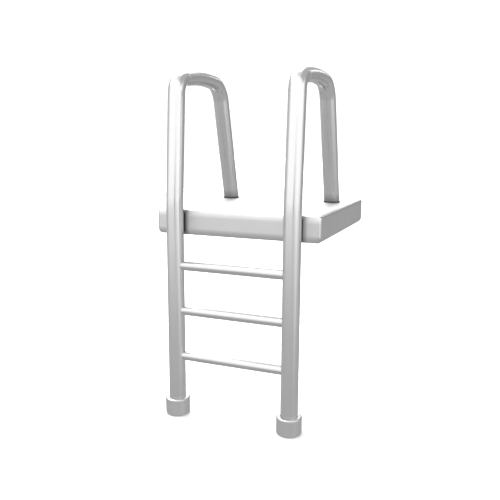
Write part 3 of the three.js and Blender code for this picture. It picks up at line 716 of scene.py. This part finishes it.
def foot(name, x):
    hole = M8_RADIUS + HOLE_GAP
    recess = SOLE_RADIUS + FIT
    rim = FOOT_RADIUS - FOOT_EDGE
    outline = [
        (hole, SOLE_THICKNESS + FIT),
        (recess, SOLE_THICKNESS + FIT),
        (recess, SOLE_PROUD),
        *arc((rim, SOLE_PROUD + FOOT_EDGE), FOOT_EDGE, -90, 0, 8),
        *arc((rim, FOOT_TOP - FOOT_EDGE), FOOT_EDGE, 0, 90, 8),
        *arc((FOOT_BORE + FOOT_BORE_EDGE, FOOT_TOP - FOOT_BORE_EDGE), FOOT_BORE_EDGE, 90, 180, 4),
        (FOOT_BORE, FOOT_FLOOR),
        (hole, FOOT_FLOOR),
    ]
    cup = lathe(f"{name}_foot_cup", outline, FOOT_SIDES, foot_metal, (x, FRONT_Y, 0))
    own(shade(cup, weighted=True), "foot_aluminium", f"{name}_foot")

    top = SOLE_THICKNESS - SOLE_ROOF
    outline = [
        (hole, top),
        (SOLE_WELL, top),
        (SOLE_WELL, 0),
        *arc((SOLE_RADIUS - SOLE_EDGE, SOLE_EDGE), SOLE_EDGE, -90, 0, 4),
        (SOLE_RADIUS, SOLE_THICKNESS),
        (hole, SOLE_THICKNESS),
    ]
    disc = lathe(f"{name}_foot_sole_disc", outline, FOOT_SIDES, sole_rubber, (x, FRONT_Y, 0))
    for radius in GROOVE_RADII:
        cut(disc, lathe("groove", ring_groove(radius), FOOT_SIDES, None, (x, FRONT_Y, 0)))
    own(shade(disc, weighted=True), "sole_rubber", f"{name}_foot_sole")


def ring_groove(radius):
    """The outline of a shallow round groove in the sole's tread."""
    return [
        (radius - GROOVE_HALF, -GROOVE_DEPTH),
        (radius + GROOVE_HALF, -GROOVE_DEPTH),
        (radius + GROOVE_HALF, GROOVE_DEPTH / 2),
        (radius, GROOVE_DEPTH),
        (radius - GROOVE_HALF, GROOVE_DEPTH / 2),
    ]


# ------------------------------------------------------------ screws


def hex_cutter(across, start, end):
    """A hexagon cutter from one point to another; across is the distance over its corners."""
    return drill(across / 2, start, end, 6)


def round_head_screw(name, slot_name, node, place, direction, length):
    """A domed socket screw; direction runs from the head into the work."""
    flat = M8_HEAD * M8_FLAT
    dome = arc((flat, -M8_HEIGHT * M8_SKIRT), M8_HEAD - flat, -90, 0, DOME_STEPS)
    outline = [
        (0, -M8_HEIGHT),
        (flat, -M8_HEIGHT),
        *dome[1:],
        (M8_HEAD, 0),
        (M8_RADIUS, 0),
        (M8_RADIUS, length - M8_CHAMFER),
        (M8_RADIUS - M8_CHAMFER, length),
        (0, length),
    ]
    place, direction = Vector(place), Vector(direction)
    screw = lathe(name, outline, SCREW_SIDES, screw_steel, place, turn_to(direction), closed=False)
    start, end = place - direction * (M8_HEIGHT + MM), place - direction * (M8_HEIGHT * M8_FLOOR)
    cut(screw, hex_cutter(M8_HEX, start, end))
    return own(shade(screw), slot_name, node)


def flat_head_screw(name, slot_name, node, place, length):
    """A countersunk socket screw, head down, flush with the cover."""
    outline = [
        (0, 0),
        (M5_HEAD, 0),
        (M5_HEAD, M5_RIM),
        (M5_RADIUS, M5_DEPTH),
        (M5_RADIUS, length - M5_CHAMFER),
        (M5_RADIUS - M5_CHAMFER, length),
        (0, length),
    ]
    screw = lathe(name, outline, SCREW_SIDES, screw_steel, place, closed=False)
    place = Vector(place)
    cut(screw, hex_cutter(M5_HEX, place - Vector((0, 0, MM)), place + Vector((0, 0, M5_HEX_DEPTH))))
    return own(shade(screw), slot_name, node)


# ------------------------------------------------------------ platform


def stand_back(rounding, sheet, height, low, high):
    """How far an edge with the given rounding stands back at a height between low and high."""
    if height > (low + high) / 2:
        (depth, tall), start = rounding["top"], high - height
    else:
        (depth, tall), start = rounding["base"], height - low
    share = max(0.0, 1 - start / (tall - sheet))
    return (depth - sheet) * (1 - math.sqrt(1 - share**2))


def pan_body(name, sheet, material=None):
    """The pan's outside as one closed body, or its inside where sheet is the metal's thickness."""
    low, high = deck_low.z + sheet, deck_high.z - sheet
    steps = [1 - math.cos(a) for a in np.radians(np.linspace(0, 90, EDGE_STEPS + 1))]
    heights = [low + (FRONT_ROUNDING["base"][1] - sheet) * step for step in steps]
    heights += [high - (FRONT_ROUNDING["top"][1] - sheet) * step for step in reversed(steps)]
    points = []
    for z in heights:
        ahead = stand_back(FRONT_ROUNDING, sheet, z, low, high)
        beside = stand_back(OTHER_ROUNDING, sheet, z, low, high)
        corner = max(DECK_LEAST_CORNER, DECK_CORNER - sheet - max(ahead, beside))
        x = deck_high.x - sheet - beside - corner
        front = deck_low.y + sheet + ahead + corner
        back = deck_high.y - sheet - beside - corner
        for centre, start in (((x, front), -90), ((x, back), 0), ((-x, back), 90), ((-x, front), 180)):
            points += [(*at, z) for at in arc(centre, corner, start, start + 90, CORNER_STEPS)]
    ring = 4 * (CORNER_STEPS + 1)
    faces = [list(range(ring))[::-1], list(range((len(heights) - 1) * ring, len(heights) * ring))]
    for i in range(len(heights) - 1):
        for k in range(ring):
            m = (k + 1) % ring
            faces.append([i * ring + k, i * ring + m, (i + 1) * ring + m, (i + 1) * ring + k])
    return outward(mesh_object(name, points, faces, material))


def block(name, low, high, material=None):
    x0, y0, z0 = low
    x1, y1, z1 = high
    points = [(x, y, z) for z in (z0, z1) for x, y in ((x0, y0), (x1, y0), (x1, y1), (x0, y1))]
    faces = [(3, 2, 1, 0), (4, 5, 6, 7), (0, 1, 5, 4), (1, 2, 6, 5), (2, 3, 7, 6), (3, 0, 4, 7)]
    return mesh_object(name, points, faces, material)


def platform():
    pan = pan_body("platform_pan", 0.0, deck_metal)
    mouth = block(
        "mouth",
        (deck_low.x + DECK_EDGE, deck_low.y + DECK_EDGE, deck_low.z - MM),
        (deck_high.x - DECK_EDGE, deck_high.y - DECK_EDGE, deck_low.z + DECK_SHEET + MM),
    )
    cut(pan, pan_body("inside", DECK_SHEET), mouth)
    for _, side in SIDES:
        x = side * RAIL_X
        ends = (x, FRONT_Y, deck_low.z - MM), (x, FRONT_Y, deck_high.z + MM)
        wall = drill(SEAT_RADIUS + DECK_SHEET, *ends, SEAT_SIDES)
        combine(wall, pan_body("outside", 0.0), "INTERSECT")
        combine(pan, wall, "UNION")
        cut(pan, drill(SEAT_RADIUS, *ends, SEAT_SIDES))
        axis = Vector((x, 0, 0))
        leg = [axis + rear_leg_point(depth) for depth in (-RAIL_RADIUS, RAIL_RADIUS)]
        cut(pan, drill(LEG_HOLE, *leg, LEG_HOLE_SIDES))
        for z in LEG_BOLT_HEIGHTS:
            cut(pan, drill(M10_HOLE, (x, FRONT_Y, z), (x, FRONT_Y + LEG_BOLT_REACH, z), HOLE_SIDES))
    return own(shade(pan, weighted=True), "platform_shell", "deck_shell")


def leg_pad(name, x):
    """The rubber between a front leg and its seat, with a soft lip on each side of the leg: a black line
    that stands in for the crevice's shade.
    """
    low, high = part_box(f"{name}_leg_pad")
    lip = (PAD_LIP_BACK - PAD_LIP_FRONT) / 2
    lip_middle = (PAD_LIP_BACK + PAD_LIP_FRONT) / 2
    back = math.degrees(math.asin(PAD_LIP_BACK / PAD_OUTER))
    front = math.degrees(math.asin(PAD_LIP_FRONT / PAD_INNER))
    outline = arc((PAD_LIP_END - lip, lip_middle), lip, -90, 90, LIP_STEPS)
    outline += arc((0, 0), PAD_OUTER, back, 180 - back, PAD_STEPS)
    outline += arc((lip - PAD_LIP_END, lip_middle), lip, 90, 270, LIP_STEPS)
    outline += arc((0, 0), PAD_INNER, 180 - front, front, PAD_STEPS)
    count = len(outline)
    points = [(x + px, FRONT_Y + py, z) for z in (low.z, high.z) for px, py in outline]
    faces = [list(range(count))[::-1], list(range(count, 2 * count))]
    faces += [[k, (k + 1) % count, count + (k + 1) % count, count + k] for k in range(count)]
    pad = outward(mesh_object(f"{name}_leg_seat_pad", points, faces, seal_rubber))
    for z in LEG_BOLT_HEIGHTS:
        cut(pad, drill(M10_HOLE, (x, FRONT_Y + BORE_NEAR, z), (x, FRONT_Y + BORE_FAR, z), HOLE_SIDES))
    return own(shade(pad), "seal_rubber", f"{name}_leg_pad")


def base_cover():
    panel = block("platform_cover", cover_low, cover_high, cover_metal)
    wide, narrow = M5_HEAD + HOLE_GAP, M5_RADIUS + HOLE_GAP
    sink = [
        (0, SINK_START),
        (wide, SINK_START),
        (wide, SINK_RIM),
        (narrow, M5_DEPTH + SINK_SLACK),
        (narrow, SINK_END),
        (0, SINK_END),
    ]
    for i in COVER_SCREWS:
        spot = middle(f"cover_screw_{i}")
        cut(panel, lathe("sink", sink, SCREW_SIDES, None, (spot.x, spot.y, cover_low.z), closed=False))
    return own(shade(panel, weighted=True), "platform_cover", "deck_base_cover")


def seal(name, x):
    """The rubber lip round the rear leg: level on the platform, slanting with the leg."""
    top = DECK_TOP + SEAL_HEIGHT
    outline = [
        (SEAL_SLEEVE, DECK_TOP - DECK_SHEET),
        (SEAL_SLEEVE, DECK_TOP + FIT),
        (SEAL_LIP, DECK_TOP + FIT),
        *arc((SEAL_LIP - SEAL_EDGE, top - SEAL_EDGE), SEAL_EDGE, 0, 90, 5),
        (SEAL_BORE, top),
        (SEAL_BORE, DECK_TOP - DECK_SHEET),
    ]
    base = rear_leg_point(0)
    down = Vector((0, math.sin(REAR_LEG_ANGLE), -math.cos(REAR_LEG_ANGLE)))
    across = Vector((1, 0, 0))
    up = down.cross(across)
    points, faces = [], []
    for radius, height in outline:
        for k in range(SEAL_SIDES):
            a = 2 * math.pi * k / SEAL_SIDES
            p = base + across * (radius * math.cos(a)) + up * (radius * math.sin(a))
            p += down * ((p.z - height) / math.cos(REAR_LEG_ANGLE))
            points.append(p + Vector((x, 0, 0)))
    rows = len(outline)
    for i in range(rows):
        j = (i + 1) % rows
        for k in range(SEAL_SIDES):
            m = (k + 1) % SEAL_SIDES
            corners = (i, k), (i, m), (j, m), (j, k)
            faces.append([row * SEAL_SIDES + at for row, at in corners])
    ring = outward(mesh_object(f"{name}_leg_seal", points, faces, seal_rubber))
    return own(shade(ring), "seal_rubber", f"{name}_deck_seal")


# ------------------------------------------------------------ assembly

for side_name, side in SIDES:
    rail(side_name, side)
    foot(side_name, side * RAIL_X)
    seal(side_name, side * RAIL_X)
    leg_pad(side_name, side * RAIL_X)
    low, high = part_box(f"{side_name}_foot_screw")
    round_head_screw(
        f"{side_name}_foot_socket_screw",
        "fastener_steel",
        f"{side_name}_foot_screw",
        (side * RAIL_X, FRONT_Y, low.z + M8_HEIGHT),
        (0, 0, 1),
        high.z - low.z - M8_HEIGHT,
    )
    for level in LEVELS:
        low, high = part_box(f"{level}_rung_{side_name}_screw")
        round_head_screw(
            f"{level}_rung_{side_name}_socket_screw",
            "fastener_steel",
            f"{level}_rung_{side_name}_screw",
            (side * RAIL_X, high.y - M8_HEIGHT, RUNG_HEIGHTS[level]),
            (0, -1, 0),
            high.y - low.y - M8_HEIGHT,
        )
for level in LEVELS:
    rung(level)
platform()
base_cover()
for i in COVER_SCREWS:
    low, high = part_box(f"cover_screw_{i}")
    centre = (low + high) / 2
    flat_head_screw(
        f"cover_socket_screw_{i}",
        "fastener_steel",
        f"cover_screw_{i}",
        (centre.x, centre.y, low.z),
        high.z - low.z,
    )

# The pieces inside keep their CAD meshes. The first of these words in a piece's name gives its material.
INNER = {
    "bolt": screw_steel,
    "beam": mill_metal,
    "fitting": mill_metal,
    "leg_plug": plug_plastic,
    "socket": socket_metal,
    "nut_plate": socket_metal,
}
for node_name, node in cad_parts.items():
    if node.hide_render:
        continue
    node.data.materials.clear()
    node.data.materials.append(next(INNER[word] for word in INNER if word in node_name))

# ------------------------------------------------------------ floor, light and camera

FLOOR_REACH = 30.0
FLOOR_GAP = 0.2 * MM
floor = mesh_object(
    "floor",
    [
        (x * FLOOR_REACH, y * FLOOR_REACH, cad_low.z - FLOOR_GAP)
        for x, y in ((-1, -1), (1, -1), (1, 1), (-1, 1))
    ],
    [(0, 1, 2, 3)],
)
floor_material, n = new_material("pale_floor")
pale = n.noise(n.add("TexCoord").outputs["Object"], 2.0, 3.0)
board = n.add("BsdfDiffuse", {"Color": n.tint(pale, grey(0.90), grey(0.93))})
open_below = n.add("BsdfTransparent")
one_sided = n.add("MixShader")
n.tree.links.new(n.add("NewGeometry").outputs["Backfacing"], one_sided.inputs[0])
n.tree.links.new(board.outputs[0], one_sided.inputs[1])
n.tree.links.new(open_below.outputs[0], one_sided.inputs[2])
n.add("OutputMaterial", {"Surface": one_sided.outputs[0]})
floor.data.materials.append(floor_material)
floor.visible_glossy = False
floor.visible_diffuse = False

# The studio as the metal sees it, in radiance. A large soft wall faces the ladder from the pool side
# and a little to the right, a ceiling hangs over it, brightest behind, and the wall at the back is grey.
FRONT_AXIS = Vector((0.331, -0.944, 0.0))
FRONT_WALL = 1.62
BACK_LEFT, BACK_RIGHT = 0.75, 0.46
CEILING_FRONT, CEILING_LEFT, CEILING_BACK = 1.6, 2.3, 9.0
FRONT_WALL_TOP, BACK_WALL_TOP = 22.0, 29.0  # elevations where the walls end
WALL_TOP_FADE = 15.0
ZENITH = 1.0  # straight overhead
PANEL = 0.62  # a grey panel overhead, to the right
GROUND = 0.58
HORIZON = (-20, 6)  # elevations between which the ground turns into the walls
SIDE_GLOW = 5.0  # how much lower, in degrees, the front wall reaches on the right
STAND_SHADE = 0.75  # share of the front wall's light that the camera's stand takes away
BACK_SHADE = 0.36  # a dark part of the back wall, low on the right
BEHIND = 2.6  # a white upright and its foot behind the ladder
STRIP = 2.1  # a narrow upright lamp behind the ladder
ECHO, ECHO_SIDE, ECHO_DOWN, ECHO_BEHIND = 1.07, 1.75, 0.84, 2.3  # after two or more reflections
ONE_BOUNCE, TWO_BOUNCES = 1, 2
BACKDROP = 1.3  # what the camera itself sees
world = bpy.data.worlds.new("studio")
bpy.context.scene.world = world
world.use_nodes = True
n = Nodes(world.node_tree)
direction = n.add("TexCoord").outputs["Generated"]


def along(axis):
    node = n.add("VectorMath", {0: direction}, operation="DOT_PRODUCT")
    node.inputs[1].default_value = axis
    return node.outputs["Value"]


# A direction's place in the studio: its share along the two level axes, and its elevation in degrees.
PLACE = {
    "front": along(FRONT_AXIS),
    "right": along(Vector((-FRONT_AXIS.y, FRONT_AXIS.x, 0.0))),
    "elevation": n.math("MULTIPLY", n.math("ARCSINE", along((0, 0, 1))), 180 / math.pi),
}


def blend(share, low, high):
    """low where share is 0 and high where it is 1."""
    return n.math("ADD", low, n.math("MULTIPLY", share, n.math("SUBTRACT", high, low)))


def ramp(value, start, end):
    """0 at start and 1 at end, with soft ends; start may be the larger one."""
    if start < end:
        return n.span(value, start, end, smooth=True)
    return n.span(value, end, start, 1.0, 0.0, smooth=True)


def near(value, middle, inner, outer):
    """1 within inner of middle and 0 beyond outer."""
    return ramp(n.math("ABSOLUTE", n.math("SUBTRACT", value, middle)), outer, inner)


def patch(**limits):
    """A soft patch of the studio: 1 inside it and 0 outside. Each limit is a (start, end) ramp or a
    (middle, inner, outer) band of one of PLACE's values."""
    shares = [(ramp if len(limit) == 2 else near)(PLACE[name], *limit) for name, limit in limits.items()]
    product = shares[0]
    for share in shares[1:]:
        product = n.math("MULTIPLY", product, share)
    return product


facing = patch(front=(-0.30, 0.25))
back_wall = blend(patch(right=(-0.45, -0.10)), BACK_LEFT, BACK_RIGHT)
walls = blend(facing, back_wall, FRONT_WALL)
ceiling = blend(facing, CEILING_BACK, CEILING_FRONT)
ceiling = blend(patch(right=(-0.25, -0.50), front=(-0.1, 0.1)), ceiling, CEILING_LEFT)
wall_top = blend(facing, BACK_WALL_TOP, FRONT_WALL_TOP)
above_walls = n.math("SUBTRACT", PLACE["elevation"], wall_top)
sky = blend(ramp(above_walls, 0.0, WALL_TOP_FADE), walls, ceiling)
sky = blend(patch(right=(0.12, 0.34), elevation=(22, 32), front=(0.50, 0.35)), sky, PANEL)

side_glow = n.math("MULTIPLY", patch(right=(0.74, 0.07, 0.20), front=(0.0, 0.35)), SIDE_GLOW)
lifted = n.math("ADD", PLACE["elevation"], side_glow)
level = blend(ramp(lifted, *HORIZON), GROUND, sky)
stand = patch(right=(0.12, 0.07, 0.22), elevation=(-1, 2, 7), front=(0.0, 0.5))
level = n.math("MULTIPLY", level, blend(stand, 1.0, 1.0 - STAND_SHADE))

behind_ladder = (-0.3, -0.6)
dark_back = patch(right=(0.28, 0.16, 0.32), elevation=(12, 2), front=behind_ladder)
upright = patch(right=(-0.09, 0.06, 0.12), elevation=(14, 14, 18), front=behind_ladder)
skirting = patch(right=(-0.05, 0.19, 0.29), elevation=(4, 4, 8), front=behind_ladder)
for share, patch_level in ((dark_back, BACK_SHADE), (upright, BEHIND), (skirting, BEHIND)):
    level = blend(share, level, patch_level)
strip = patch(right=(0.41, 0.02, 0.08), elevation=(19, 2, 7), front=(0.0, -0.5))
level = n.math("ADD", level, n.math("MULTIPLY", strip, STRIP))
level = blend(patch(elevation=(64, 78)), level, ZENITH)

# After two or more reflections a plainer studio is seen, which keeps the inner bends calm.
echo = blend(patch(right=(0.2, 0.6), front=(0.0, 0.4), elevation=(30, 19)), ECHO, ECHO_SIDE)
echo = blend(patch(elevation=(-30, -48)), echo, ECHO_DOWN)
echo_behind = patch(right=(-0.24, 0.12, 0.20), elevation=(-54, 14, 20), front=(-0.15, -0.35))
echo = blend(echo_behind, echo, ECHO_BEHIND)
path = n.add("LightPath")
bounces = n.math("SUBTRACT", path.outputs["Ray Depth"], path.outputs["Is Reflection Ray"])
many = n.math("GREATER_THAN", bounces, (ONE_BOUNCE + TWO_BOUNCES) / 2)
level = blend(many, level, echo)
level = blend(path.outputs["Is Camera Ray"], level, BACKDROP)
background = n.add("Background", {"Strength": level})
background.inputs["Color"].default_value = (1.0, 1.0, 1.0, 1.0)
n.add("OutputWorld", {"Surface": background.outputs[0]})

CAMERA_PLACE = Vector((0.98075, -2.55829, 1.16835))
CAMERA_YAW = math.radians(22.2)
CAMERA_PITCH = math.radians(10.4)
CAMERA_ROLL = 0.0056965
CAMERA_LENS, CAMERA_SENSOR = 45.01, 36.0  # millimetres
CAMERA_REACH = 200.0
camera_data = bpy.data.cameras.new("camera")
camera_data.lens = CAMERA_LENS
camera_data.sensor_width = CAMERA_SENSOR
camera_data.clip_end = CAMERA_REACH
camera = bpy.data.objects.new("camera", camera_data)
bpy.context.scene.collection.objects.link(camera)
camera.matrix_world = (
    Matrix.Translation(CAMERA_PLACE)
    @ Matrix.Rotation(CAMERA_YAW, 4, "Z")
    @ Matrix.Rotation(math.pi / 2 - CAMERA_PITCH, 4, "X")
    @ Matrix.Rotation(CAMERA_ROLL, 4, "Z")
)
bpy.context.scene.camera = camera
bpy.context.scene.view_settings.view_transform = "Standard"

bpy.context.view_layer.update()
